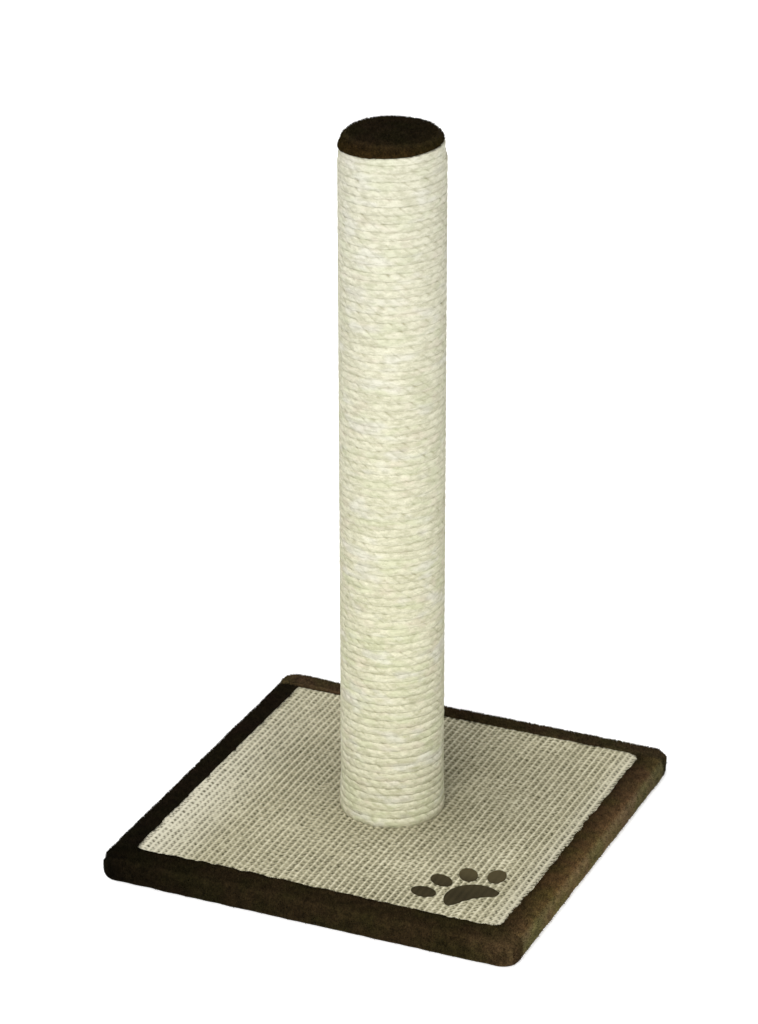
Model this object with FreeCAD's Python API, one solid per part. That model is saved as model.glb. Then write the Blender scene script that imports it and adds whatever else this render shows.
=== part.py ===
import FreeCAD, Part
import math
import os

from FreeCAD import Vector

# A cat scratching post: a cardboard tube wound with sisal rope, under a small plush cap, bolted to a
# square board that is faced with a sisal mat and edged with plush. Millimetres, +Z up. The origin lies
# on the floor under the tube's axis, and -Y is the front.

# Base
board_side = 380.0
board_thick = 16.0
board_corner_radius = 12.0
mat_thick = 2.5
mat_tuck = 12.0                # mat hidden under each plush strip
plush_thick = 4.0              # plush beside the board
plush_over_mat = 2.0           # how far the plush stands above the mat
hem_thick = 3.5                # plush pressed flat under the board
strip_reach = 23.0             # plush folded in over the board, and in under it
strip_edge_radius = 8.0
strip_edge_share = 0.4         # most of a strip's height that one rounded edge may take

# Rope, tube and plugs
rope_diameter = 6.7
rope_gap = 0.5                 # between neighbouring turns
winding_length = 612.0         # of the tube, taken to whole turns of rope
loops_shown = 12               # turns formed at the foot, and again at the top
rope_end_angle = 90.0          # the rope starts and ends at the back
winding_clearance = 0.3
tube_radius = 38.5
tube_wall = 4.0
plug_thick = 30.0
plug_clearance = 0.2

# Cap
cap_inset = 2.2                # cap inside the rope's outer surface
cap_rise = 17.5                # above the tube's end
cap_crown = 5.0                # how far the middle stands above the rim
cap_shoulder_radius = 9.5
cap_plush_thick = 3.0
cap_hem_thick = 0.8            # cap's hem, pressed into the tube by the rope
cap_hem_length = 16.0

# Bolt, washer and tee nut
bolt_radius = 4.0
bolt_length = 50.0             # under the head
bolt_head_flats = 13.0
bolt_head_sides = 6
bolt_head_height = 5.3
bolt_hole_clearance = 0.3
thread_clearance = 0.05
washer_radius = 12.0
washer_thick = 2.0
recess_depth = 9.0             # in the board's underside, for the bolt's head
recess_clearance = 1.0
nut_flange_radius = 11.0
nut_flange_thick = 1.5
nut_barrel_radius = 5.2
nut_barrel_length = 9.0
nut_prong_length = 6.0
nut_prong_width = 2.5
nut_prong_thick = 1.0
nut_prong_ring = 8.5
nut_prongs = 4

# Nails and staples
nail_radius = 0.9
nail_length = 20.0
nail_head_radius = 2.2
nail_head_thick = 0.8
nails_in_plug = 4
nail_below_hem = 6.0           # top nails sit clear under the cap's hem
staple_width = 10.0
staple_wire = 1.2
staple_flat = 0.5              # thickness of the staple's crown and legs
staple_leg = 8.0
staple_sunk = 0.15             # crown below the cloth's surface
staples_in_hem = 5             # along each side of the base
hem_staple_end_gap = 20.0      # from a strip's seam to the last staple
staples_in_cap = 6

# Paw print of thin felt, glued on the mat's front right corner
felt_thick = 0.6
paw_from_right_strip = 50.0    # its middle from the strips' inner edges
paw_from_front_strip = 51.0
paw_turn = 45.0                # toes point at the post
toe_length = 22.5
toe_width = 16.0
inner_toe_distance = 28.5
inner_toe_angle = 26.0         # round the print's middle, from straight ahead
inner_toe_tilt = 16.0
outer_toe_distance = 36.5
outer_toe_angle = 68.0
outer_toe_tilt = 40.0
pad_half_width = 25.0
pad_crown = 10.5               # pad's front edge ahead of the print's middle
pad_hollow = 12.5              # pad's back edge behind it, between the two lobes
pad_lobe_width = 10.0
pad_lobe_back = 15.0

# Heights and widths that follow from the sizes above
board_low = hem_thick
board_top = board_low + board_thick
mat_top = board_top + mat_thick
base_top = mat_top + plush_over_mat
base_side = board_side + 2 * plush_thick
mat_open_side = base_side - 2 * strip_reach
mat_side = mat_open_side + 2 * mat_tuck
rope_pitch = rope_diameter + rope_gap
rope_turns = round(winding_length / rope_pitch)
rope_helix_radius = tube_radius + winding_clearance + rope_diameter / 2
rope_slope = rope_pitch / (2 * math.pi * rope_helix_radius)
post_radius = rope_helix_radius + rope_diameter / 2
first_turn_height = mat_top + winding_clearance + rope_diameter * (0.5 + rope_slope)
last_turn_height = first_turn_height + rope_turns * rope_pitch
tube_top = mat_top + rope_turns * rope_pitch
plug_radius = tube_radius - tube_wall - plug_clearance
cap_radius = post_radius - cap_inset
cap_hem_inner = tube_radius - cap_hem_thick
washer_low = board_low + recess_depth - washer_thick
bolt_hole_radius = bolt_radius + bolt_hole_clearance

UP = Vector(0, 0, 1)
ORIGIN = Vector(0, 0, 0)
PAST = 1.0                     # how far a cutting solid runs past the face that it opens


def cylinder(radius, low, high):
    return Part.makeCylinder(radius, high - low, Vector(0, 0, low))


def ring(outer_radius, inner_radius, low, high):
    return cylinder(outer_radius, low, high).cut(cylinder(inner_radius, low - PAST, high + PAST))


def square_block(side, low, high):
    return Part.makeBox(side, side, high - low, Vector(-side / 2, -side / 2, low))


def rounded_block(side, corner_radius, low, high):
    block = square_block(side, low, high)
    uprights = [edge for edge in block.Edges if abs(edge.tangentAt(edge.FirstParameter).z) > 0.5]
    return block.makeFillet(corner_radius, uprights)


def turned(shape, degrees):
    copy = shape.copy()
    copy.rotate(ORIGIN, UP, degrees)
    return copy


def spread_round(shape, count, first_angle=0.0):
    return [turned(shape, first_angle + 360 * index / count) for index in range(count)]


# The board, its mat and the four plush strips

def board_blank():
    return rounded_block(board_side, board_corner_radius, board_low, board_top)


def mat_blank():
    return square_block(mat_side, board_top, mat_top)


def staple(width, leg):
    """A staple with its crown's outer face at z = 0 along X and its legs pointing up."""
    crown = Part.makeBox(width, staple_wire, staple_flat, Vector(-width / 2, -staple_wire / 2, 0))
    left_leg = Part.makeBox(staple_flat, staple_wire, leg, Vector(-width / 2, -staple_wire / 2, 0))
    right_leg = left_leg.translated(Vector(width - staple_flat, 0, 0))
    return crown.fuse([left_leg, right_leg]).removeSplitter()


def staple_groove(width):
    """The dent that the staple's crown presses in the cloth, open to the outside."""
    depth = staple_sunk + staple_flat / 2
    corner = Vector(-width / 2, -staple_wire / 2, -staple_sunk - PAST)
    return Part.makeBox(width, staple_wire, depth + PAST, corner)


def hem_places():
    row_length = mat_open_side - 2 * hem_staple_end_gap
    row_y = -(mat_open_side + strip_reach - strip_edge_radius) / 2
    step = row_length / (staples_in_hem - 1)
    return [Vector(-row_length / 2 + step * index, row_y, staple_sunk) for index in range(staples_in_hem)]


def on_four_sides(shape):
    rows = [shape.translated(place) for place in hem_places()]
    return [turned(piece, 90 * side) for side in range(4) for piece in rows]


def base_board(staples):
    board = board_blank().cut(cylinder(bolt_hole_radius, board_low - PAST, board_top + PAST))
    recess = cylinder(washer_radius + recess_clearance, board_low - PAST, board_low + recess_depth)
    return board.cut(recess).cut(staples)


def base_mat():
    return mat_blank().cut(cylinder(bolt_hole_radius, board_top - PAST, mat_top + PAST))


def plush_shell():
    outer = rounded_block(base_side, board_corner_radius + plush_thick, 0, base_top)
    rims = [edge for edge in outer.Edges if edge.BoundBox.ZLength < base_top / 2]
    outer = outer.makeFillet(min(strip_edge_radius, strip_edge_share * base_top), rims)
    window = square_block(mat_open_side, -PAST, base_top + PAST)
    return outer.cut([board_blank(), mat_blank(), window])


def plush_strips(staples):
    """The front and back strips run right across, and the side strips butt between them."""
    shell = plush_shell().cut(staples).cut(on_four_sides(staple_groove(staple_width)))
    across_corner = Vector(-base_side, mat_open_side / 2, -PAST)
    across = Part.makeBox(2 * base_side, base_side, 2 * base_top, across_corner)
    between_corner = Vector(0, -mat_open_side / 2, -PAST)
    between = Part.makeBox(base_side, mat_open_side, 2 * base_top, between_corner)
    return {
        "plush_front": shell.common(turned(across, 180)),
        "plush_back": shell.common(across),
        "plush_right": shell.common(between),
        "plush_left": shell.common(turned(between, 180)),
    }


# The winding

def rope_point(turn):
    angle = math.radians(rope_end_angle) + 2 * math.pi * turn
    height = first_turn_height + rope_pitch * turn
    return Vector(rope_helix_radius * math.cos(angle), rope_helix_radius * math.sin(angle), height)


def rope_direction(turn):
    angle = math.radians(rope_end_angle) + 2 * math.pi * turn
    return Vector(-math.sin(angle), math.cos(angle), rope_slope).normalize()


def tangent_arc(start, corner, end):
    """The arc from start to end whose end tangents meet at corner."""
    chord_middle = (start + end) * 0.5
    half_chord = (end - start).Length / 2
    turn = math.acos(half_chord / (corner - start).Length)
    outwards = (corner - chord_middle).normalize()
    return Part.Arc(start, chord_middle + outwards * half_chord * math.tan(turn / 2), end)


def biarc(start, start_direction, end, end_direction):
    span = end - start
    both = start_direction + end_direction
    bend = 2 * (1 - start_direction.dot(end_direction))
    reach = (math.sqrt(span.dot(both) ** 2 + bend * span.dot(span)) - span.dot(both)) / bend
    first_corner = start + start_direction * reach
    last_corner = end - end_direction * reach
    joint = (first_corner + last_corner) * 0.5
    return [tangent_arc(start, first_corner, joint), tangent_arc(joint, last_corner, end)]


def winding_curves(turns):
    """A straight end, half turns of two arcs each, and a straight end one rope's thickness long."""
    first_end = rope_point(0) - rope_direction(0) * rope_diameter
    last_end = rope_point(turns) + rope_direction(turns) * rope_diameter
    curves = [Part.LineSegment(first_end, rope_point(0))]
    for half in range(2 * turns):
        start = half / 2
        end = (half + 1) / 2
        curves += biarc(rope_point(start), rope_direction(start), rope_point(end), rope_direction(end))
    curves.append(Part.LineSegment(rope_point(turns), last_end))
    return curves


def least_gap(curves, points_in_curve=12):
    """The least space that the rope leaves to itself, from points a quarter turn or more apart."""
    points = []
    for curve in curves:
        step = (curve.LastParameter - curve.FirstParameter) / points_in_curve
        points += [curve.value(curve.FirstParameter + step * index) for index in range(points_in_curve)]
    apart = 2 * points_in_curve
    nearest = min(
        point.distanceToPoint(other)
        for index, point in enumerate(points)
        for other in points[index + apart:]
    )
    return nearest - rope_diameter


def rope_winding(turns):
    curves = winding_curves(turns)
    path = Part.Wire([curve.toShape() for curve in curves])
    start = rope_point(0) - rope_direction(0) * rope_diameter
    section = Part.Wire(Part.Circle(start, rope_direction(0), rope_diameter / 2).toShape())
    rope = path.makePipeShell([section], True, False)
    expected = math.pi * (rope_diameter / 2) ** 2 * path.Length
    print(f"rope, {turns} turns: length {path.Length:.0f} mm, least gap {least_gap(curves):.2f} mm,",
          f"volume {rope.Volume / expected:.4f} of its section times its length")
    return rope


def turned_over(shape):
    """The same shape at the post's other end: a half turn about a level line through the back."""
    copy = shape.copy()
    middle = Vector(0, 0, (first_turn_height + last_turn_height) / 2)
    level = Vector(math.cos(math.radians(rope_end_angle)), math.sin(math.radians(rope_end_angle)), 0)
    copy.rotate(middle, level, 180)
    return copy


def seat_height(turns):
    """The lowest point of what rests on the last of these turns."""
    return first_turn_height + (turns - 1) * rope_pitch + rope_diameter / 2 + rope_gap


def room_under_seat(turns, inner_radius):
    """What the last of these turns takes from a piece that rests on it: a ramp of one turn, and a
    straight pocket for the rope's end."""
    outer_radius = post_radius + PAST
    low = seat_height(turns)
    inner_line = Part.makeHelix(rope_pitch, rope_pitch / 2, inner_radius).Edges[0]
    outer_line = Part.makeHelix(rope_pitch, rope_pitch / 2, outer_radius).Edges[0]
    first_half = Part.makeRuledSurface(inner_line, outer_line).extrude(Vector(0, 0, -2 * rope_pitch))
    second_half = turned(first_half, 180).translated(Vector(0, 0, rope_pitch / 2))
    pocket_width = outer_radius - inner_radius
    pocket_length = rope_diameter + winding_clearance
    pocket_corner = Vector(inner_radius, 0, -rope_pitch)
    pocket = Part.makeBox(pocket_width, pocket_length, 2 * rope_pitch, pocket_corner)
    room = (pocket, first_half, second_half)
    return [turned(piece, rope_end_angle).translated(Vector(0, 0, low)) for piece in room]


def rope_middle_turns():
    """The turns between the two formed windings, as a plain sleeve that rests on both."""
    inner_radius = tube_radius + winding_clearance
    low = seat_height(loops_shown)
    high = first_turn_height + last_turn_height - low
    sleeve = ring(post_radius, inner_radius, low - PAST, high + PAST)
    for piece in room_under_seat(loops_shown, inner_radius - PAST):
        sleeve = sleeve.cut(piece).cut(turned_over(piece))
    return sleeve


# The tube, its plugs and what holds them

def radial_nail(height, surface_radius):
    """A flat-headed nail driven in along X, its head level with the surface."""
    inwards = Vector(-1, 0, 0)
    head = Part.makeCylinder(nail_head_radius, nail_head_thick, Vector(surface_radius, 0, height), inwards)
    shank = Part.makeCylinder(nail_radius, nail_length, Vector(surface_radius, 0, height), inwards)
    return head.fuse(shank).removeSplitter()


def plug_nails(height):
    return spread_round(radial_nail(height, tube_radius - staple_sunk), nails_in_plug, 45)


def cap_staples():
    crown_radius = tube_radius - staple_sunk
    upright = staple(staple_width, staple_leg)
    upright.rotate(ORIGIN, Vector(0, 1, 0), -90)
    upright.translate(Vector(crown_radius, 0, tube_top - cap_hem_length / 2))
    return spread_round(upright, staples_in_cap)


def staple_dents_in_cap_hem():
    dent = staple_groove(staple_width)
    dent.rotate(ORIGIN, Vector(0, 1, 0), -90)
    dent.translate(Vector(tube_radius - staple_sunk, 0, tube_top - cap_hem_length / 2))
    return spread_round(dent, staples_in_cap)


def post_tube(fasteners):
    tube = ring(tube_radius, tube_radius - tube_wall, mat_top, tube_top)
    hem_seat = ring(tube_radius + PAST, cap_hem_inner, tube_top - cap_hem_length, tube_top + PAST)
    return tube.cut(hem_seat).cut(fasteners)


def bottom_plug(nails, nut):
    bore = cylinder(bolt_hole_radius, mat_top - PAST, mat_top + plug_thick + PAST)
    return cylinder(plug_radius, mat_top, mat_top + plug_thick).cut([bore, nut]).cut(nails)


def top_plug(nails, staples):
    return cylinder(plug_radius, tube_top - plug_thick, tube_top).cut(nails).cut(staples)


def tee_nut():
    seat = mat_top + plug_thick
    flange = cylinder(nut_flange_radius, seat, seat + nut_flange_thick)
    barrel = cylinder(nut_barrel_radius, seat - nut_barrel_length, seat)
    prong_corner = Vector(nut_prong_ring, -nut_prong_width / 2, seat - nut_prong_length)
    prong = Part.makeBox(nut_prong_thick, nut_prong_width, nut_prong_length, prong_corner)
    body = flange.fuse([barrel] + spread_round(prong, nut_prongs)).removeSplitter()
    thread = cylinder(bolt_radius + thread_clearance, mat_top, mat_top + 2 * plug_thick)
    return body.cut(thread)


def bolt():
    step = 2 * math.pi / bolt_head_sides
    corner_radius = bolt_head_flats / 2 / math.cos(step / 2)
    corners = [
        Vector(corner_radius * math.cos(step * index), corner_radius * math.sin(step * index), 0)
        for index in range(bolt_head_sides + 1)
    ]
    head = Part.Face(Part.makePolygon(corners)).extrude(Vector(0, 0, bolt_head_height))
    head.translate(Vector(0, 0, washer_low - bolt_head_height))
    shank = cylinder(bolt_radius, washer_low, washer_low + bolt_length)
    return head.fuse(shank).removeSplitter()


def bolt_washer():
    return ring(washer_radius, bolt_hole_radius, washer_low, washer_low + washer_thick)


# The cap

def dome(radius, low, top, shoulder_radius):
    """A puck with a crowned top and a rounded shoulder."""
    rim = top - cap_crown
    outline = [
        Part.LineSegment(Vector(0, 0, low), Vector(radius, 0, low)),
        Part.LineSegment(Vector(radius, 0, low), Vector(radius, 0, rim)),
        Part.Arc(Vector(radius, 0, rim), Vector(radius / 2, 0, top - cap_crown / 4), Vector(0, 0, top)),
        Part.LineSegment(Vector(0, 0, top), Vector(0, 0, low)),
    ]
    face = Part.Face(Part.Wire([line.toShape() for line in outline]))
    puck = face.revolve(ORIGIN, UP, 360)
    level_edges = [edge for edge in puck.Edges if edge.BoundBox.ZLength < cap_crown / 2]
    shoulder = [edge for edge in level_edges if abs(edge.BoundBox.ZMin - rim) < cap_crown / 2]
    return puck.makeFillet(shoulder_radius, shoulder)


def cap_padding():
    shoulder_radius = cap_shoulder_radius - cap_plush_thick
    return dome(cap_hem_inner, tube_top, tube_top + cap_rise - cap_plush_thick, shoulder_radius)


def cap_plush(padding):
    blank = dome(cap_radius, seat_height(rope_turns) - PAST, tube_top + cap_rise, cap_shoulder_radius)
    for piece in room_under_seat(rope_turns, tube_radius + winding_clearance / 2):
        blank = blank.cut(piece)
    hem = cylinder(tube_radius, tube_top - cap_hem_length, tube_top + PAST)
    cover = blank.fuse(hem).cut(cylinder(cap_hem_inner, tube_top - cap_hem_length - PAST, tube_top))
    return cover.cut(padding).cut(staple_dents_in_cap_hem()).cut(cap_staples())


# The paw print

def paw_toe(distance, angle, tilt):
    """A felt oval ahead of the print's middle, first tilted and then turned round it."""
    ellipse = Part.Ellipse(ORIGIN, toe_length / 2, toe_width / 2)
    toe = Part.Face(Part.Wire(ellipse.toShape())).extrude(Vector(0, 0, felt_thick))
    ahead = Vector(0, distance, 0)
    upright = turned(toe, 90 + tilt - angle)
    return turned(upright.translated(ahead), angle)


def paw_pad():
    """A broad bean, its back edge hollow between two lobes."""
    left = Vector(-pad_half_width, -pad_hollow, 0)
    right = Vector(pad_half_width, -pad_hollow, 0)
    left_lobe_end = Vector(pad_lobe_width - pad_half_width, -pad_lobe_back, 0)
    right_lobe_end = Vector(pad_half_width - pad_lobe_width, -pad_lobe_back, 0)
    left_lobe = Vector(pad_lobe_width / 4 - pad_half_width, -pad_lobe_back, 0)
    right_lobe = Vector(pad_half_width - pad_lobe_width / 4, -pad_lobe_back, 0)
    outline = [
        Part.Arc(left, Vector(0, pad_crown, 0), right),
        Part.Arc(right, right_lobe, right_lobe_end),
        Part.Arc(right_lobe_end, Vector(0, -pad_hollow, 0), left_lobe_end),
        Part.Arc(left_lobe_end, left_lobe, left),
    ]
    face = Part.Face(Part.Wire([line.toShape() for line in outline]))
    return face.extrude(Vector(0, 0, felt_thick))


def paw_print():
    pieces = [paw_pad()]
    for side in (-1, 1):
        pieces.append(paw_toe(inner_toe_distance, side * inner_toe_angle, side * inner_toe_tilt))
        pieces.append(paw_toe(outer_toe_distance, side * outer_toe_angle, side * outer_toe_tilt))
    place_x = mat_open_side / 2 - paw_from_right_strip
    place_y = paw_from_front_strip - mat_open_side / 2
    place = Vector(place_x, place_y, mat_top)
    return [turned(piece, paw_turn).translated(place) for piece in pieces]


def scratching_post():
    hem_staples = on_four_sides(staple(staple_width, staple_leg))
    top_staples = cap_staples()
    bottom_nails = plug_nails(mat_top + plug_thick / 2)
    top_nails = plug_nails(tube_top - cap_hem_length - nail_below_hem)
    nut = tee_nut()
    padding = cap_padding()
    winding = rope_winding(loops_shown)
    pieces = {
        "base_board": base_board(hem_staples),
        "base_mat": base_mat(),
        "hem_staples": Part.makeCompound(hem_staples),
        "post_tube": post_tube(bottom_nails + top_nails + top_staples),
        "bottom_plug": bottom_plug(bottom_nails, nut),
        "bottom_plug_nails": Part.makeCompound(bottom_nails),
        "top_plug": top_plug(top_nails, top_staples),
        "top_plug_nails": Part.makeCompound(top_nails),
        "tee_nut": nut,
        "bolt": bolt(),
        "bolt_washer": bolt_washer(),
        "rope_bottom_turns": winding,
        "rope_middle_turns": rope_middle_turns(),
        "rope_top_turns": turned_over(winding),
        "cap_padding": padding,
        "cap_plush": cap_plush(padding),
        "cap_staples": Part.makeCompound(top_staples),
        "paw_print": Part.makeCompound(paw_print()),
    }
    pieces.update(plush_strips(hem_staples))
    return pieces


os.makedirs("parts", exist_ok=True)
for node, shape in scratching_post().items():
    shape.exportStep(f"parts/{node}.step")
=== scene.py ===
import bpy
import math
import numpy
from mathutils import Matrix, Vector, noise


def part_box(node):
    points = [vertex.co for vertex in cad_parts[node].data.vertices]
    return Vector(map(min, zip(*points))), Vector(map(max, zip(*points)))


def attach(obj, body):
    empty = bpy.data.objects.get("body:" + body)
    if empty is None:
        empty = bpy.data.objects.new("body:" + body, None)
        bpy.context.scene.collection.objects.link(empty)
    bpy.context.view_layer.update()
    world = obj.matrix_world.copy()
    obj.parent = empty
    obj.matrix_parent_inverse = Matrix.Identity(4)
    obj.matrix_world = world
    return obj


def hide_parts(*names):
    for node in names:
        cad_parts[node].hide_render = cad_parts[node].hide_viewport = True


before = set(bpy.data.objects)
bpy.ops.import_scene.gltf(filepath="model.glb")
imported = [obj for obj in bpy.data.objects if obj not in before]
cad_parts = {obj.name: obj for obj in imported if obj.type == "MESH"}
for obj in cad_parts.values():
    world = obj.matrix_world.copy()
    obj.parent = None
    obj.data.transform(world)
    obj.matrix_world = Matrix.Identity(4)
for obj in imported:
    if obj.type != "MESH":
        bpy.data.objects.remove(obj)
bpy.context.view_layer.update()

# ---------------------------------------------------------------------------------------------------
# The view: a long lens from the front right, a little above the post, on a white ground that glows
# like a light table. Soft light from the front, with less from the upper left and the right, throws
# the post's faint shadow back over the mat.
# ---------------------------------------------------------------------------------------------------

scene = bpy.context.scene
camera_data = bpy.data.cameras.new("camera")
camera_data.lens = 132.0
camera_data.sensor_width = 36.0
camera_side = 0.4114           # radians round from the front, towards the right
camera_distance = 2.9314       # along the floor, from the post's axis
camera_height = 1.6227
camera_pitch = 0.4227          # radians below the level
camera_turn = 0.0039           # radians that the lens looks left of the post's axis
camera_roll = -0.0014
camera = bpy.data.objects.new("camera", camera_data)
camera.location = (
    camera_distance * math.sin(camera_side),
    -camera_distance * math.cos(camera_side),
    camera_height,
)
camera.rotation_euler = (math.pi / 2 - camera_pitch, 0, camera_side + camera_turn)
camera.rotation_euler.rotate_axis("Z", camera_roll)
scene.collection.objects.link(camera)
scene.camera = camera
scene.view_settings.view_transform = "Standard"


def lamp(name, kind, place, power, colour, **settings):
    """A soft lamp that looks at the middle of the post's foot."""
    light = bpy.data.lights.new(name, kind)
    light.energy = power
    light.color = colour
    for key, value in settings.items():
        setattr(light, key, value)
    holder = bpy.data.objects.new(name, light)
    holder.location = place
    holder.rotation_euler = (-Vector(place)).to_track_quat("-Z", "Y").to_euler()
    scene.collection.objects.link(holder)


lamp("key_light", "SUN", (0.25, -2.2, 2.0), 2.3, (1.0, 0.99, 0.97), angle=math.radians(30))
lamp("top_light", "SUN", (-0.7, -0.5, 2.5), 0.9, (1.0, 1.0, 1.0), angle=math.radians(80))
lamp("side_light", "AREA", (2.2, -1.6, 1.2), 20.0, (1.0, 0.98, 0.95), shape="DISK", size=1.0)

world = bpy.data.worlds.new("studio")
world.use_nodes = True
sky = world.node_tree.nodes["Background"].inputs
sky["Color"].default_value = (1.0, 1.0, 0.99, 1)
sky["Strength"].default_value = 0.33
scene.world = world


def deselect_all():
    for one in bpy.context.selected_objects:
        one.select_set(False)


def named(name):
    """The object that an operator has just made, under its own name."""
    piece = bpy.context.object
    piece.name = name
    piece.data.name = name
    return piece


def new_finish(name, roughness, specular=0.5):
    """A material, its node tree and its Principled shader, ready for a pattern."""
    finish = bpy.data.materials.new(name)
    finish.use_nodes = True
    shader = finish.node_tree.nodes["Principled BSDF"]
    shader.inputs["Roughness"].default_value = roughness
    shader.inputs["Specular IOR Level"].default_value = specular
    return finish, finish.node_tree, shader


deselect_all()
bpy.ops.mesh.primitive_plane_add(size=60)
floor = named("floor")
floor_finish, tree, shader = new_finish("white_floor", 0.95, 0.1)
shader.inputs["Base Color"].default_value = (0.6, 0.6, 0.6, 1)
shader.inputs["Emission Color"].default_value = (1, 1, 1, 1)
shader.inputs["Emission Strength"].default_value = 0.62
floor.data.materials.append(floor_finish)

# ---------------------------------------------------------------------------------------------------
# Fibre: sisal, plush, felt, wadding and raw wood all show soft lighter and darker patches and fine
# hairs. One group gives each of them its mottled colour and the height of its nap.
# ---------------------------------------------------------------------------------------------------


def add_socket(group, name, direction, kind, value=None):
    made = group.interface.new_socket(name=name, in_out=direction, socket_type=kind)
    if value is not None:
        made.default_value = value


def node_in(tree, kind, **settings):
    made = tree.nodes.new(kind)
    for key, value in settings.items():
        setattr(made, key, value)
    return made


def feed(tree, value, target):
    """Puts another node's output, or a plain value, on an input."""
    if isinstance(value, bpy.types.NodeSocket):
        tree.links.new(value, target)
    else:
        target.default_value = value


def noise_in(tree, coordinates, scale, detail=3.0):
    made = node_in(tree, "ShaderNodeTexNoise")
    feed(tree, coordinates, made.inputs["Vector"])
    feed(tree, scale, made.inputs["Scale"])
    made.inputs["Detail"].default_value = detail
    return made.outputs["Fac"]


def math_in(tree, operation, first, second=0.0):
    made = node_in(tree, "ShaderNodeMath", operation=operation)
    feed(tree, first, made.inputs[0])
    feed(tree, second, made.inputs[1])
    return made.outputs[0]


def spread_in(tree, value, low, high, to_low=0.0, to_high=1.0):
    made = node_in(tree, "ShaderNodeMapRange")
    feed(tree, value, made.inputs["Value"])
    made.inputs["From Min"].default_value = low
    made.inputs["From Max"].default_value = high
    made.inputs["To Min"].default_value = to_low
    made.inputs["To Max"].default_value = to_high
    return made.outputs["Result"]


def mix_in(tree, share, first, second, blend="MIX"):
    made = node_in(tree, "ShaderNodeMix", data_type="RGBA", blend_type=blend)
    feed(tree, share, made.inputs[0])
    feed(tree, first, made.inputs[6])
    feed(tree, second, made.inputs[7])
    return made.outputs[2]


fibre = bpy.data.node_groups.new("fibre", "ShaderNodeTree")
add_socket(fibre, "Coordinates", "INPUT", "NodeSocketVector")
add_socket(fibre, "Dark", "INPUT", "NodeSocketColor")
add_socket(fibre, "Light", "INPUT", "NodeSocketColor")
add_socket(fibre, "Patches", "INPUT", "NodeSocketFloat", 40.0)
add_socket(fibre, "Hairs", "INPUT", "NodeSocketFloat", 900.0)
add_socket(fibre, "Hair share", "INPUT", "NodeSocketFloat", 0.5)
add_socket(fibre, "Colour", "OUTPUT", "NodeSocketColor")
add_socket(fibre, "Nap", "OUTPUT", "NodeSocketFloat")
given = node_in(fibre, "NodeGroupInput").outputs
result = node_in(fibre, "NodeGroupOutput").inputs
patches = spread_in(fibre, noise_in(fibre, given["Coordinates"], given["Patches"]), 0.35, 0.65)
hairs = noise_in(fibre, given["Coordinates"], given["Hairs"], 2.0)
hair_light = math_in(fibre, "MULTIPLY", spread_in(fibre, hairs, 0.35, 0.65), given["Hair share"])
patch_light = math_in(fibre, "MULTIPLY", patches, math_in(fibre, "SUBTRACT", 1.0, given["Hair share"]))
lightness = math_in(fibre, "ADD", hair_light, patch_light)
feed(fibre, mix_in(fibre, lightness, given["Dark"], given["Light"]), result["Colour"])
feed(fibre, hairs, result["Nap"])


def fibre_in(tree, coordinates, dark, light, patches, hairs, hair_share=0.5):
    """A fibre's colour and nap: patches and hairs are counts in a metre."""
    made = node_in(tree, "ShaderNodeGroup", node_tree=fibre)
    for name, value in (("Coordinates", coordinates), ("Dark", (*dark, 1)), ("Light", (*light, 1)),
                        ("Patches", patches), ("Hairs", hairs), ("Hair share", hair_share)):
        feed(tree, value, made.inputs[name])
    return made.outputs["Colour"], made.outputs["Nap"]

# ---------------------------------------------------------------------------------------------------
# The base board: a square of raw chipboard with a stepped hole in its middle for the bolt.
# Only its underside shows, between the folded hems.
# ---------------------------------------------------------------------------------------------------


def bump_in(tree, height, distance, shader):
    made = node_in(tree, "ShaderNodeBump")
    feed(tree, height, made.inputs["Height"])
    made.inputs["Distance"].default_value = distance
    tree.links.new(made.outputs["Normal"], shader.inputs["Normal"])


def place_in(tree, scale=(1, 1, 1)):
    """Object coordinates, drawn out along an axis where its scale is small."""
    mapping = node_in(tree, "ShaderNodeMapping")
    mapping.inputs["Scale"].default_value = scale
    tree.links.new(node_in(tree, "ShaderNodeTexCoord").outputs["Object"], mapping.inputs["Vector"])
    return mapping.outputs["Vector"]


def dress(node, finish):
    """Gives a CAD node that stays in view its finish."""
    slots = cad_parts[node].data.materials
    slots.clear()
    slots.append(finish)


chipboard, tree, shader = new_finish("chipboard", 0.75)
place = place_in(tree)
flakes = node_in(tree, "ShaderNodeTexVoronoi")
flakes.inputs["Scale"].default_value = 260.0
feed(tree, place, flakes.inputs["Vector"])
chips = fibre_in(tree, place, (0.42, 0.28, 0.15), (0.66, 0.50, 0.32), 90.0, 700.0, 0.4)
flaked = mix_in(tree, 0.35, chips[0], flakes.outputs["Color"], "SOFT_LIGHT")
feed(tree, flaked, shader.inputs["Base Color"])
bump_in(tree, flakes.outputs["Distance"], 0.0003, shader)
dress("base_board", chipboard)

# ---------------------------------------------------------------------------------------------------
# The mat: coarse sisal cloth, glued flat on the board and tucked under the plush strips.
# Thin pale ribs run from front to back over flatter cross yarns, with small dark slits between them.
# ---------------------------------------------------------------------------------------------------

mat_low, mat_high = [Vector(corner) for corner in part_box("base_mat")]
mat_side = mat_high.x - mat_low.x
rib_count = 62
rib_faces = 6                  # faces across one rib
cross_count = 65
cross_faces = 4
rib_height = 0.0011
rib_share = 0.175              # half a rib's width, of the ribs' pitch
level_on_top = 0.9             # the yarn level that lies at the mat's full height

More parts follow.
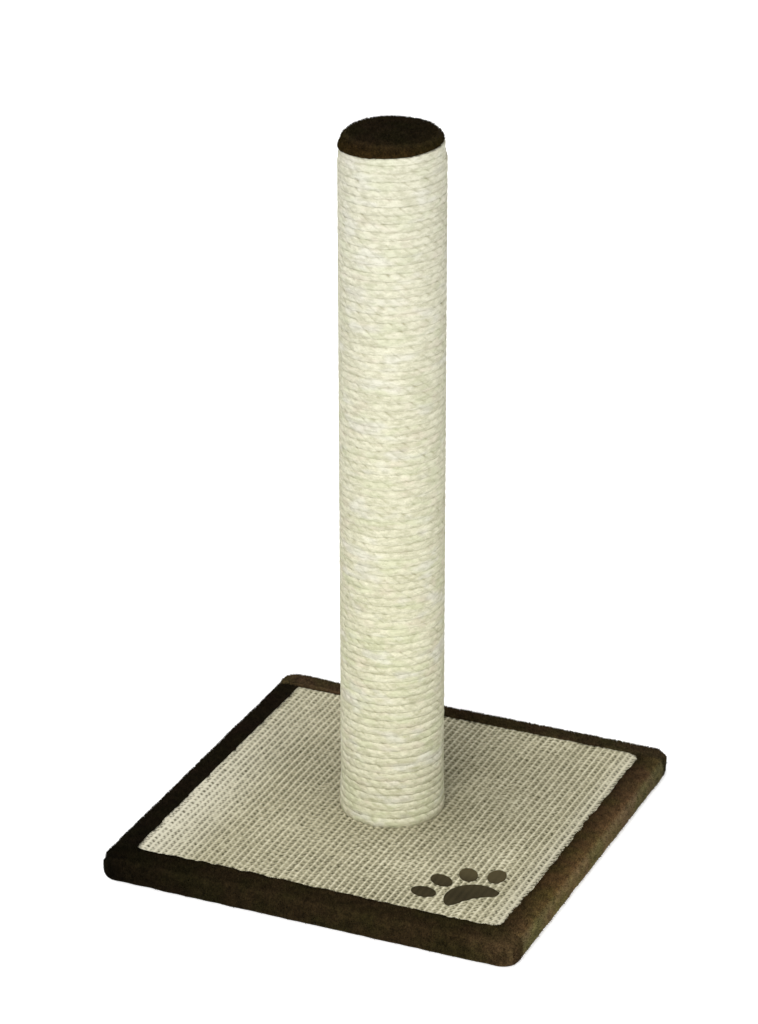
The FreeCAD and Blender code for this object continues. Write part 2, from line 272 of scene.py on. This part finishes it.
deselect_all()
bpy.ops.mesh.primitive_grid_add(
    x_subdivisions=rib_count * rib_faces, y_subdivisions=cross_count * cross_faces,
    size=mat_side, location=(0, 0, mat_high.z),
)
mat = named("mat")
bpy.ops.object.transform_apply(location=True, rotation=True, scale=True)
yarn_level = mat.data.attributes.new("yarn_level", "FLOAT", "POINT")
for point in mat.data.vertices:
    place = point.co
    # The yarns wander a little, and the ribs stand higher where they go over a cross yarn.
    rib_drift = 0.13 * noise.noise(place * 22) + 0.07 * noise.noise(place * 130)
    cross_drift = 0.45 * noise.noise(place * 31 + Vector((5, 0, 0)))
    across = place.x / mat_side * rib_count + rib_drift
    along = place.y / mat_side * cross_count + cross_drift
    rib_number = math.floor(across + 0.5)
    off_rib = abs(across - rib_number)
    weaving = math.cos(math.pi * (along * 2 + rib_number * 0.9))
    rib = math.exp(-(off_rib / rib_share) ** 2) * (0.84 + 0.16 * weaving)
    # The cross yarns gape beside the ribs, further along from each rib to the next.
    stagger = 2.7 * rib_number + 2.0 * noise.noise(Vector((rib_number * 3.7, 0, 0)))
    opening = (0.5 - 0.5 * math.cos(2 * math.pi * along + stagger)) ** 2.4
    beside_rib = min(1.0, max(0.0, (off_rib - 0.15) / 0.18))
    loose = 0.58 + 0.12 * noise.noise(place * 17 + Vector((0, 0, 3))) + 0.22 * noise.noise(place * 240)
    slit_depth = (0.8 + 0.9 * noise.noise(place * 140)) * opening * beside_rib
    level = max(rib, loose - slit_depth) + 0.12 * noise.noise(place * 420)
    yarn_level.data[point.index].value = level
    point.co.z += rib_height * (level - level_on_top)

bpy.ops.object.mode_set(mode="EDIT")
bpy.ops.mesh.select_mode(type="EDGE")
bpy.ops.mesh.select_all(action="DESELECT")
bpy.ops.mesh.select_non_manifold()
to_underside = (0, 0, rib_height - mat_high.z + mat_low.z)
bpy.ops.mesh.extrude_region_move(TRANSFORM_OT_translate={"value": to_underside})
bpy.ops.mesh.edge_face_add()
bpy.ops.mesh.select_all(action="SELECT")
bpy.ops.mesh.normals_make_consistent(inside=False)
bpy.ops.object.mode_set(mode="OBJECT")
bpy.ops.object.shade_smooth_by_angle(angle=math.radians(60))


def axes_in(tree, coordinates):
    """The X, Y and Z of a place, each under its own letter."""
    made = node_in(tree, "ShaderNodeSeparateXYZ")
    feed(tree, coordinates, made.inputs[0])
    return made.outputs


def attribute_in(tree, name, output="Fac"):
    return node_in(tree, "ShaderNodeAttribute", attribute_name=name).outputs[output]


woven_sisal, tree, shader = new_finish("woven_sisal", 0.85, 0.2)
level = attribute_in(tree, "yarn_level")
pale, nap = fibre_in(
    tree, place_in(tree, (1, 0.3, 1)), (0.54, 0.50, 0.35), (0.78, 0.74, 0.565), 24.0, 1500.0, 0.55,
)
weave = mix_in(tree, spread_in(tree, level, 0.52, 0.90), (0.335, 0.312, 0.205, 1), pale)

# The cloth is frayed and so paler at its right edge. Near its front left it is paler too, partly frayed and
# partly painted light, and round the post it is darker: painted shade.
axes = axes_in(tree, place_in(tree))
at_left = spread_in(tree, axes["X"], -0.172, -0.11, 0.75, 0.0)
at_front = spread_in(tree, axes["Y"], -0.06, 0.14, 1.0, 0.15)
painted_light_left = math_in(tree, "MULTIPLY", at_left, at_front)
right_fray = spread_in(tree, axes["X"], 0.15, 0.172, 0.0, 0.45)
fray_and_light = math_in(tree, "ADD", painted_light_left, right_fray)
frayed_and_lit = mix_in(tree, fray_and_light, weave, (0.70, 0.67, 0.545, 1))
# Painted shade: the mat is darkened round the post's foot, most to its back right, where the post's shadow
# falls.
from_post = node_in(tree, "ShaderNodeVectorMath", operation="DISTANCE")
feed(tree, place_in(tree), from_post.inputs[0])
from_post.inputs[1].default_value = (0.025, 0.045, mat_high.z)
post_shade_share = spread_in(tree, from_post.outputs["Value"], 0.05, 0.15, 0.85, 0.0)
painted_post_shade = mix_in(tree, post_shade_share, (1, 1, 1, 1), (0.72, 0.72, 0.70, 1))
cloth = mix_in(tree, 1.0, frayed_and_lit, painted_post_shade, "MULTIPLY")
# The slits between the yarns are painted near black: painted shade.
painted_slit_shade = spread_in(tree, level, 0.02, 0.48)
feed(tree, mix_in(tree, painted_slit_shade, (0.06, 0.055, 0.026, 1), cloth), shader.inputs["Base Color"])
bump_in(tree, nap, 0.0003, shader)
mat.data.materials.append(woven_sisal)
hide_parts("base_mat")
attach(mat, "root")

# ---------------------------------------------------------------------------------------------------
# The plush strips: four lengths of short brown plush, glued over the mat's edge, round the board's
# side and under it. The front and back strips run right across, and the side strips butt on them.
# Their pile lies in different directions. Each strip's tone, lighter or darker than the next, is painted
# light and shade for that pile's sheen and for light from the right.
# ---------------------------------------------------------------------------------------------------

board_high = Vector(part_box("base_board")[1])
strip_low, strip_high = [Vector(corner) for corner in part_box("plush_right")]
pile_length = 0.0019
pile_room = 0.0012             # how far the cloth under the pile keeps inside the strip's outside
hem_level = 0.004
corner_round = 0.022           # the plush rounds the board's corners more than the board itself does
edge_band = 0.012              # how far out from a strip's inner edge its waves reach
inner_rounds = {"left": 0.0015, "right": 0.0055}   # how far the plush rounds the mat's corners
inner_round_reach = 0.014
seam_overlap = 0.0003          # the strips' ends press into each other by this much
puff = 0.003                   # the back strip stands up loosely towards its left end
puff_middle = -0.17
puff_spread = 0.06
front_drawn_in = 0.0055        # the front strip reaches this much further in over the mat


def make_active(piece):
    deselect_all()
    piece.select_set(True)
    bpy.context.view_layer.objects.active = piece


def apply_modifier(piece, kind, name, **settings):
    make_active(piece)
    modifier = piece.modifiers.new(name, kind)
    for key, value in settings.items():
        setattr(modifier, key, value)
    bpy.ops.object.modifier_apply(modifier=modifier.name)


def soft_copy(node, name, voxel):
    """An evenly meshed copy of a CAD node, with its edges softened."""
    piece = bpy.data.objects.new(name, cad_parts[node].data.copy())
    piece.data.name = name
    piece.data.materials.clear()
    scene.collection.objects.link(piece)
    make_active(piece)
    bpy.ops.object.mode_set(mode="EDIT")
    bpy.ops.mesh.select_all(action="SELECT")
    bpy.ops.mesh.remove_doubles(threshold=0.00001)
    bpy.ops.object.mode_set(mode="OBJECT")
    apply_modifier(piece, "REMESH", "even_mesh", mode="VOXEL", voxel_size=voxel, use_smooth_shade=True)
    apply_modifier(piece, "SMOOTH", "softened", factor=0.5, iterations=3)
    return piece


def places_and_normals(piece):
    return [(point.index, point.co.copy(), point.normal.copy()) for point in piece.data.vertices]


def tuft_group(tufts_per_square, length, half_width, splay):
    """Geometry nodes that plant tapered tufts, and nothing else, where the attribute pile is 1."""
    group = bpy.data.node_groups.new("tufts", "GeometryNodeTree")
    add_socket(group, "Geometry", "INPUT", "NodeSocketGeometry")
    add_socket(group, "Geometry", "OUTPUT", "NodeSocketGeometry")
    marked = node_in(group, "GeometryNodeInputNamedAttribute", data_type="FLOAT")
    marked.inputs["Name"].default_value = "pile"
    planted = node_in(group, "GeometryNodeDistributePointsOnFaces", distribute_method="RANDOM")
    planted.inputs["Seed"].default_value = 3
    group.links.new(node_in(group, "NodeGroupInput").outputs[0], planted.inputs["Mesh"])
    density = math_in(group, "MULTIPLY", marked.outputs["Attribute"], tufts_per_square)
    group.links.new(density, planted.inputs["Density"])
    tuft = node_in(group, "GeometryNodeMeshCone", fill_type="NONE")
    tuft.inputs["Vertices"].default_value = 3
    tuft.inputs["Radius Bottom"].default_value = half_width
    tuft.inputs["Radius Top"].default_value = 0.0
    tuft.inputs["Depth"].default_value = length
    sway = node_in(group, "FunctionNodeRandomValue", data_type="FLOAT_VECTOR")
    sway.inputs[0].default_value = (-splay, -splay, -3.1)
    sway.inputs[1].default_value = (splay, splay, 3.1)
    turn = node_in(group, "FunctionNodeRotateEuler", rotation_type="EULER", space="LOCAL")
    group.links.new(planted.outputs["Rotation"], turn.inputs["Rotation"])
    group.links.new(sway.outputs[0], turn.inputs["Rotate By"])
    size = node_in(group, "FunctionNodeRandomValue", data_type="FLOAT")
    size.inputs[2].default_value = 0.6
    size.inputs[3].default_value = 1.15
    stand = node_in(group, "GeometryNodeInstanceOnPoints")
    group.links.new(planted.outputs["Points"], stand.inputs["Points"])
    group.links.new(tuft.outputs["Mesh"], stand.inputs["Instance"])
    group.links.new(turn.outputs[0], stand.inputs["Rotation"])
    group.links.new(size.outputs[1], stand.inputs["Scale"])
    real = node_in(group, "GeometryNodeRealizeInstances")
    group.links.new(stand.outputs[0], real.inputs[0])
    group.links.new(real.outputs[0], node_in(group, "NodeGroupOutput").inputs[0])
    return group


def grow_tufts(piece, name, group, finish):
    """Tufts as a piece of their own, standing where the piece's pile attribute is 1."""
    tufts = bpy.data.objects.new(name, piece.data.copy())
    tufts.data.name = name
    scene.collection.objects.link(tufts)
    apply_modifier(tufts, "NODES", "planted", node_group=group)
    tufts.data.materials.clear()
    tufts.data.materials.append(finish)
    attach(tufts, "root")
    return tufts


def plush_finish(name, axis, *stops, lit_side=0.0):
    """Brown plush whose nap turns between the given places on an axis, with its tone there painted as
    sheen.

    With a lit side it also gets painted light: lighter along X from its inner edge to its outer side."""
    finish, tree, shader = new_finish(name, 1.0, 0.04)
    place = place_in(tree)
    axes = axes_in(tree, place)
    first, last = stops[0][0], stops[-1][0]
    sway = 0.1 * (last - first)
    ragged = spread_in(tree, noise_in(tree, place, 25.0), 0, 1, -sway, sway)
    tone_place = math_in(tree, "ADD", axes[axis], ragged)
    tones = node_in(tree, "ShaderNodeValToRGB")
    feed(tree, spread_in(tree, tone_place, first, last), tones.inputs[0])
    while len(tones.color_ramp.elements) < len(stops):
        tones.color_ramp.elements.new(0.5)
    for element, (spot, colour) in zip(tones.color_ramp.elements, stops):
        element.position = (spot - first) / (last - first)
        element.color = (*colour, 1)
    hue_share = spread_in(tree, noise_in(tree, place, 34.0), 0.4, 0.6)
    hue = mix_in(tree, hue_share, (0.95, 1.05, 0.88, 1), (1.07, 0.98, 1.02, 1))
    mottle, nap = fibre_in(tree, place, (0.3, 0.3, 0.3), (1.7, 1.7, 1.7), 190.0, 800.0, 0.6)
    tinted = mix_in(tree, 1.0, tones.outputs["Color"], hue, "MULTIPLY")
    # Painted light: a lit side grows lighter towards its outer side, and its outer face is painted lighter
    # and more olive.
    if lit_side:
        cloth_side = strip_high.x - pile_room
        brightness = spread_in(tree, axes["X"], strip_low.x, cloth_side, 1 - lit_side, 1 + lit_side)
        scaled = node_in(tree, "ShaderNodeVectorMath", operation="SCALE")
        feed(tree, tinted, scaled.inputs[0])
        feed(tree, brightness, scaled.inputs["Scale"])
        on_side = spread_in(tree, axes["X"], strip_high.x - 0.004, cloth_side)
        tinted = mix_in(tree, on_side, scaled.outputs[0], (1.5, 1.8, 2.1, 1), "MULTIPLY")
    feed(tree, mix_in(tree, 1.0, tinted, mottle, "MULTIPLY"), shader.inputs["Base Color"])
    bump_in(tree, nap, 0.0005, shader)
    return finish


end = strip_high.x
# Each strip's tones, and how they change along it, are painted light and shade: they stand in for the sheen
# of pile lying different ways and for light from the right. The right strip's outer side is painted lighter
# still.
strip_finishes = {
    "front": plush_finish(
        "plush_front_painted_light", "X",
        (-end, (0.0035, 0.0026, 0.0011)), (-0.06, (0.018, 0.0130, 0.0052)),
        (0.14, (0.026, 0.0180, 0.0072)), (end, (0.052, 0.036, 0.0155)),
    ),
    "right": plush_finish(
        "plush_right_painted_light", "Y",
        (-end, (0.052, 0.036, 0.0155)), (-0.08, (0.066, 0.042, 0.016)),
        (0.08, (0.058, 0.037, 0.0165)), (end, (0.042, 0.028, 0.013)), lit_side=0.55,
    ),
    "back": plush_finish(
        "plush_back_painted_light", "X",
        (-end, (0.056, 0.038, 0.020)), (0.0, (0.030, 0.020, 0.009)), (end, (0.036, 0.027, 0.013)),
    ),
    "left": plush_finish(
        "plush_left_painted_light", "Y",
        (-end, (0.0065, 0.005, 0.0024)), (end, (0.012, 0.008, 0.0045)),
    ),
}


def over_the_mat(side, place, reach, width):
    """How far a strip's cloth is drawn in or out where it lies on the mat."""
    side_strip = side in ("left", "right")
    near_edge = max(0.0, 1 - (reach - strip_low.x) / edge_band)
    from_corner = strip_low.x - width - front_drawn_in * float(side_strip and place.y < 0)
    wave = 0.0021 * noise.noise(place * 45) + 0.0020 * noise.noise(place * 160)
    inner_round = inner_rounds["left" if place.x < 0 else "right"]
    wave += inner_round * max(0.0, 1 - max(0.0, from_corner) / inner_round_reach) ** 2
    wave += front_drawn_in * float(side == "front")
    return near_edge * min(1.0, max(0.0, from_corner / 0.003 + 1)) * wave


strip_tufts = tuft_group(850000, pile_length, 0.0004, 0.45)
for side, finish in strip_finishes.items():
    strip = soft_copy("plush_" + side, "strip_" + side, 0.0016)
    pile = strip.data.attributes.new("pile", "FLOAT", "POINT")
    for index, place, normal in places_and_normals(strip):
        if side in ("left", "right"):
            reach, width = abs(place.x), abs(place.y)
            outwards = Vector((math.copysign(1, place.x), 0, 0))
        else:
            reach, width = abs(place.y), abs(place.x)
            outwards = Vector((0, math.copysign(1, place.y), 0))
        outside = reach > board_high.x + 0.001 or width > board_high.x + 0.001
        on_top = place.z > mat_high.z + 0.0006
        # The cloth lies inside by the pile's room, but its ends still meet at the seams.
        inset = normal * pile_room * float(place.z > hem_level and (outside or normal.z > 0.3))
        if width > strip_low.x - 0.002 and abs(abs(place.y) - strip_low.x) < 0.003:
            inset.y = -math.copysign(seam_overlap, normal.y)
        moved = place - inset
        if on_top:
            moved -= outwards * over_the_mat(side, place, reach, width)
            if side == "back":
                loose = math.exp(-((place.x - puff_middle) / puff_spread) ** 2)
                moved += Vector((0, 0.3, 1)) * puff * loose
        moved += normal * 0.0005 * noise.noise(place * 80)
        # What stands out past the rounded corner is drawn back in to it.
        corner_x = abs(moved.x) - (strip_high.x - corner_round)
        corner_y = abs(moved.y) - (strip_high.x - corner_round)
        past = math.hypot(corner_x, corner_y) - (corner_round - pile_room)
        if corner_x > 0 and corner_y > 0 and past > 0 and outside:
            inwards = Vector((-math.copysign(corner_x, moved.x), -math.copysign(corner_y, moved.y), 0))
            moved += inwards.normalized() * past
        moved.z = max(moved.z, 0.0001)
        strip.data.vertices[index].co = moved
        pile.data[index].value = float(place.z > hem_level and (outside or on_top))
    strip.data.materials.append(finish)
    tufts = grow_tufts(strip, "pile_" + side, strip_tufts, finish)
    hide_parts("plush_" + side)
    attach(strip, "root")

# ---------------------------------------------------------------------------------------------------
# Steel: the staples through the hems and the cap, the nails through the tube into its plugs, and the
# bolt, washer and tee nut that hold the post on the board. All are zinc-plated.
# ---------------------------------------------------------------------------------------------------

zinc, tree, shader = new_finish("zinc_plate", 0.35)
shader.inputs["Metallic"].default_value = 1.0
spangle = noise_in(tree, place_in(tree), 600.0, 4.0)
feed(tree, mix_in(tree, spangle, (0.52, 0.53, 0.55, 1), (0.78, 0.79, 0.80, 1)), shader.inputs["Base Color"])
feed(tree, spread_in(tree, spangle, 0.3, 0.7, 0.25, 0.5), shader.inputs["Roughness"])
bump_in(tree, spangle, 0.00005, shader)
for node in (
    "hem_staples", "cap_staples", "bottom_plug_nails", "top_plug_nails", "tee_nut", "bolt", "bolt_washer",
):
    dress(node, zinc)

# ---------------------------------------------------------------------------------------------------
# The tube and its plugs: a spirally wound cardboard tube, closed at each end by a sawn wooden disc.
# The rope and the cap hide them.
# ---------------------------------------------------------------------------------------------------

cardboard, tree, shader = new_finish("wound_cardboard", 0.9)
tube_colour, tube_nap = fibre_in(tree, place_in(tree), (0.40, 0.29, 0.17), (0.54, 0.41, 0.27), 60.0, 800.0)
feed(tree, tube_colour, shader.inputs["Base Color"])
bump_in(tree, tube_nap, 0.0002, shader)
dress("post_tube", cardboard)

raw_wood, tree, shader = new_finish("sawn_wood", 0.7)
grain = place_in(tree, (1, 0.08, 1))
wood_colour, wood_nap = fibre_in(tree, grain, (0.52, 0.36, 0.19), (0.74, 0.57, 0.36), 120.0, 700.0)
feed(tree, wood_colour, shader.inputs["Base Color"])
bump_in(tree, wood_nap, 0.0003, shader)
dress("bottom_plug", raw_wood)
dress("top_plug", raw_wood)

# ---------------------------------------------------------------------------------------------------
# The rope: three-strand sisal, glued on and wound tightly round the tube from the mat to the cap.
# Its first turn lies on the mat and steps up at the back, and each turn is pressed flat on the next.
# ---------------------------------------------------------------------------------------------------

tube_low, tube_high = [Vector(corner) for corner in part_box("post_tube")]
rope_diameter = 0.0067
rope_pitch = 0.0072
rope_turns = round((tube_high.z - tube_low.z) / rope_pitch)
glue_gap = 0.0003
rope_radius = tube_high.x + glue_gap + rope_diameter / 2
strand_lay = 0.0285            # length of rope in which a strand goes once round
strand_points = (1.0, 0.98, 0.915, 0.98)   # reach of one strand from crest to crest
section_points = 3 * len(strand_points)
groove_depth = 0.085           # how much less the lowest of those points reaches than a crest
pressed_height = 0.0052        # half the rope's height, well over half the pitch
squareness = 7.0
step_share = 0.16              # share of a turn in which a lying turn steps up
settle_turns = 22.0            # turns over which that step spreads out to a steady climb
foot_turns = 4                 # the first turns stand out a little over the mat
foot_flare = 0.0012
under_cap = 0.0018             # how far the cap's rim draws the last turns in and down
tucked_turns = 2.0
fibre_stretch = 0.3            # lengthwise places count this much, so the fibres' marks run long


def uneven(turn, rate, start):
    """A smooth unevenness along the rope, from -1 to 1."""
    waves = [numpy.sin(turn * rate * pace + start * pace * 7) for pace in (1.0, 1.73, 2.91)]
    return sum(waves) / len(waves)


def wound_rope(name, first_turn, last_turn):
    turn_length = 2 * math.pi * rope_radius
    ring_count = round((last_turn - first_turn) * turn_length / strand_lay * section_points) + 1
    turn = numpy.linspace(first_turn, last_turn, ring_count)[:, None]
    part = turn - numpy.floor(turn)
    lag = numpy.where(part < 1 - step_share, part, (1 - part) * (1 - step_share) / step_share)
    lying = numpy.clip(1 - turn / settle_turns, 0, 1)
    height = tube_low.z + rope_diameter / 2 + rope_pitch * (turn - lying * lag)
    height = height + 0.00022 * uneven(turn, 23.0, 1.0)
    reach = rope_radius + foot_flare * numpy.clip(1 - turn / foot_turns, 0, 1)
    reach = reach + 0.00012 * uneven(turn, 31.0, 2.0)
    tucked = under_cap * numpy.clip(turn - rope_turns + tucked_turns, 0, 1)
    reach = reach - tucked
    height = height - tucked

    corner = numpy.arange(section_points)[None, :]
    slant = 2 * math.pi * corner / section_points
    round_rope = slant + 2 * math.pi * turn * turn_length / strand_lay
    upwards = numpy.cos(round_rope)
    outwards = numpy.sin(round_rope)
    pressed = numpy.abs(upwards / pressed_height) ** squareness
    pressed = pressed + numpy.abs(outwards / (rope_diameter / 2)) ** squareness
    strand = numpy.array(strand_points * 3)[None, :]
    fullness = 1 + 0.03 * uneven(turn, 47.0, 3.0) + 0.02 * uneven(turn + corner, 160.0, 4.0)
    size = pressed ** (-1 / squareness) * strand * fullness
    angle = math.pi / 2 + 2 * math.pi * turn
    spots = numpy.stack([
        (reach + size * outwards) * numpy.cos(angle),
        (reach + size * outwards) * numpy.sin(angle),
        height + size * upwards,
    ], axis=-1).reshape(-1, 3)

    quads = []
    for ring in range(ring_count - 1):
        first = ring * section_points
        second = first + section_points
        for index in range(section_points):
            after = (index + 1) % section_points
            quads.append((first + index, first + after, second + after, second + index))
    last = (ring_count - 1) * section_points
    ends = [tuple(reversed(range(section_points))), tuple(range(last, last + section_points))]
    mesh = bpy.data.meshes.new(name)
    mesh.from_pydata(spots.tolist(), [], quads + ends)
    # Painted shade: the grooves between strands and the seams between turns get a share by which their
    # colour is darkened.
    groove_and_seam_shade = numpy.clip((1 - strand) / groove_depth, 0, 1) * 0.5 + numpy.abs(upwards) ** 3 * 0.5
    groove_and_seam_shade = groove_and_seam_shade * (1 + 0.25 * uneven(turn + corner, 75.0, 5.0))
    painted_seam_shade = mesh.attributes.new("painted_seam_shade", "FLOAT", "POINT")
    painted_seam_shade.data.foreach_set("value", groove_and_seam_shade.astype(numpy.float32).ravel())
    lengthwise = numpy.stack(numpy.broadcast_arrays(
        rope_diameter / 2 * upwards, rope_diameter / 2 * outwards, turn * turn_length * fibre_stretch,
    ), axis=-1)
    rope_place = mesh.attributes.new("rope_place", "FLOAT_VECTOR", "POINT")
    rope_place.data.foreach_set("vector", lengthwise.astype(numpy.float32).ravel())
    piece = bpy.data.objects.new(name, mesh)
    scene.collection.objects.link(piece)
    make_active(piece)
    bpy.ops.object.shade_smooth()
    return piece


sisal_rope, tree, shader = new_finish("sisal_rope", 0.8, 0.2)
along_rope = attribute_in(tree, "rope_place", "Vector")
rope_colour, rope_nap = fibre_in(
    tree, along_rope, (0.43, 0.42, 0.286), (0.608, 0.593, 0.452), 190.0, 1100.0, 0.5,
)
place = place_in(tree, (1, 1, 2.2))
blush = spread_in(tree, noise_in(tree, place, 45.0), 0.54, 0.66, 0.0, 0.5)
blushed = mix_in(tree, blush, rope_colour, (0.55, 0.497, 0.385, 1))
green = spread_in(tree, noise_in(tree, place, 38.0, 2.0), 0.38, 0.46, 0.5, 0.0)
greened = mix_in(tree, green, blushed, (0.485, 0.503, 0.33, 1))
bleach = spread_in(tree, noise_in(tree, place, 31.0, 2.0), 0.55, 0.66, 0.0, 0.5)
worn = mix_in(tree, bleach, greened, (0.575, 0.565, 0.505, 1))
axes = axes_in(tree, place_in(tree))
faded = spread_in(tree, axes["Z"], 0.2, tube_high.z, 0.0, 0.35)
bleached = mix_in(tree, faded, worn, (0.57, 0.565, 0.52, 1))
dash = spread_in(tree, noise_in(tree, place_in(tree), 120.0, 1.0), 0.44, 0.66)
streak = spread_in(tree, noise_in(tree, along_rope, 520.0, 1.0), 0.35, 0.6)
streaked = mix_in(tree, streak, (0.87, 0.87, 0.83, 1), (1.07, 1.07, 1.07, 1))
fibrous = mix_in(tree, 1.0, bleached, streaked, "MULTIPLY")
# The grooves and seams are darkened in broken dashes: painted shade.
painted_seam_shade = math_in(tree, "MULTIPLY", spread_in(tree, attribute_in(tree, "painted_seam_shade"), 0.35, 1.1), dash)
feed(tree, mix_in(tree, painted_seam_shade, fibrous, (0.22, 0.205, 0.115, 1)), shader.inputs["Base Color"])
bump_in(tree, rope_nap, 0.0005, shader)

end_turns = round((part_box("rope_bottom_turns")[1][2] - tube_low.z - rope_diameter) / rope_pitch)
for node, name, first_turn, last_turn in (
    ("rope_bottom_turns", "rope_foot", 0, end_turns),
    ("rope_middle_turns", "rope_run", end_turns, rope_turns - end_turns),
    ("rope_top_turns", "rope_head", rope_turns - end_turns, rope_turns),
):
    rope = wound_rope(name, first_turn, last_turn)
    rope.data.materials.append(sisal_rope)
    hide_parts(node)
    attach(rope, "root")

# ---------------------------------------------------------------------------------------------------
# The cap: a puck of wadding under brown plush, drawn down over the tube's end, stapled to it and
# held by the rope's last turns. It bulges out over the rope to nearly the rope's own width.
# ---------------------------------------------------------------------------------------------------

wadding, tree, shader = new_finish("white_wadding", 0.95)
wadding_colour, wadding_nap = fibre_in(
    tree, place_in(tree), (0.70, 0.70, 0.67), (0.86, 0.86, 0.84), 80.0, 900.0,
)
feed(tree, wadding_colour, shader.inputs["Base Color"])
bump_in(tree, wadding_nap, 0.0008, shader)
dress("cap_padding", wadding)

cap_high = Vector(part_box("cap_plush")[1])
# The cap is lighter on its side and darker on its top: painted sheen of its pile.
cap_finish = plush_finish(
    "plush_cap_painted_sheen", "Z",
    (cap_high.z - 0.012, (0.024, 0.0155, 0.0045)), (cap_high.z - 0.003, (0.0125, 0.009, 0.0042)),
)
rim_reach = 0.0412             # the cap's side lies past this from the post's axis
crown_slope = 0.06             # how much the cap's top falls from its middle to its rim
cap_lip = 0.0040               # how far the rim bulges out over the rope's last turn
lip_height = 0.0045            # how far up and down from the tube's end the bulge spreads
cap = soft_copy("cap_plush", "cap", 0.0009)
pile = cap.data.attributes.new("pile", "FLOAT", "POINT")
for index, place, normal in places_and_normals(cap):
    reach = math.hypot(place.x, place.y)
    on_crown = place.z > cap_high.z - 0.002 - reach * crown_slope
    outside = place.z > tube_high.z - 0.007 and (reach > rim_reach or on_crown) and normal.z > -0.7
    # The cloth lies inside by the pile's room, and the rim bulges out and down over the rope.
    dent = 0.0005 * noise.noise(place * 55) - pile_room
    moved = place + normal * dent * float(place.z > tube_high.z + 0.001)
    lip = cap_lip * math.exp(-((place.z - tube_high.z - 0.0005) / lip_height) ** 2)
    lip *= float(reach > 0.0405)
    lip_way = Vector((place.x / max(reach, 0.001), place.y / max(reach, 0.001), -1.55))
    cap.data.vertices[index].co = moved + lip_way * lip
    pile.data[index].value = float(outside)
cap.data.materials.append(cap_finish)
grow_tufts(cap, "cap_pile", tuft_group(1000000, 0.0017, 0.0004, 0.45), cap_finish)
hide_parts("cap_plush")
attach(cap, "root")

# ---------------------------------------------------------------------------------------------------
# The paw print: five flat pieces of thin dark felt, glued on the mat in its front right corner.
# The mat's ribs press through them.
# ---------------------------------------------------------------------------------------------------

felt, tree, shader = new_finish("dark_felt", 0.95, 0.05)
felt_colour, felt_nap = fibre_in(
    tree, place_in(tree), (0.020, 0.0165, 0.0085), (0.052, 0.042, 0.021), 30.0, 1500.0,
)
rib_wave = node_in(tree, "ShaderNodeTexWave", wave_profile="SIN")
rib_wave.inputs["Scale"].default_value = rib_count / mat_side / 20 * 2 * math.pi
rib_wave.inputs["Distortion"].default_value = 0.6
feed(tree, place_in(tree), rib_wave.inputs["Vector"])
ribs_through = math_in(tree, "MULTIPLY", rib_wave.outputs["Fac"], 0.2)
ribbed_felt = mix_in(tree, ribs_through, felt_colour, (0.070, 0.055, 0.028, 1))
axes = axes_in(tree, place_in(tree))
# The back part of the print is painted lighter: painted light.
painted_light_back = spread_in(tree, axes["Y"], -0.105, -0.090, 0.0, 0.5)
feed(tree, mix_in(tree, painted_light_back, ribbed_felt, (0.100, 0.082, 0.040, 1)), shader.inputs["Base Color"])
bump_in(tree, math_in(tree, "ADD", felt_nap, rib_wave.outputs["Fac"]), 0.0003, shader)
dress("paw_print", felt)
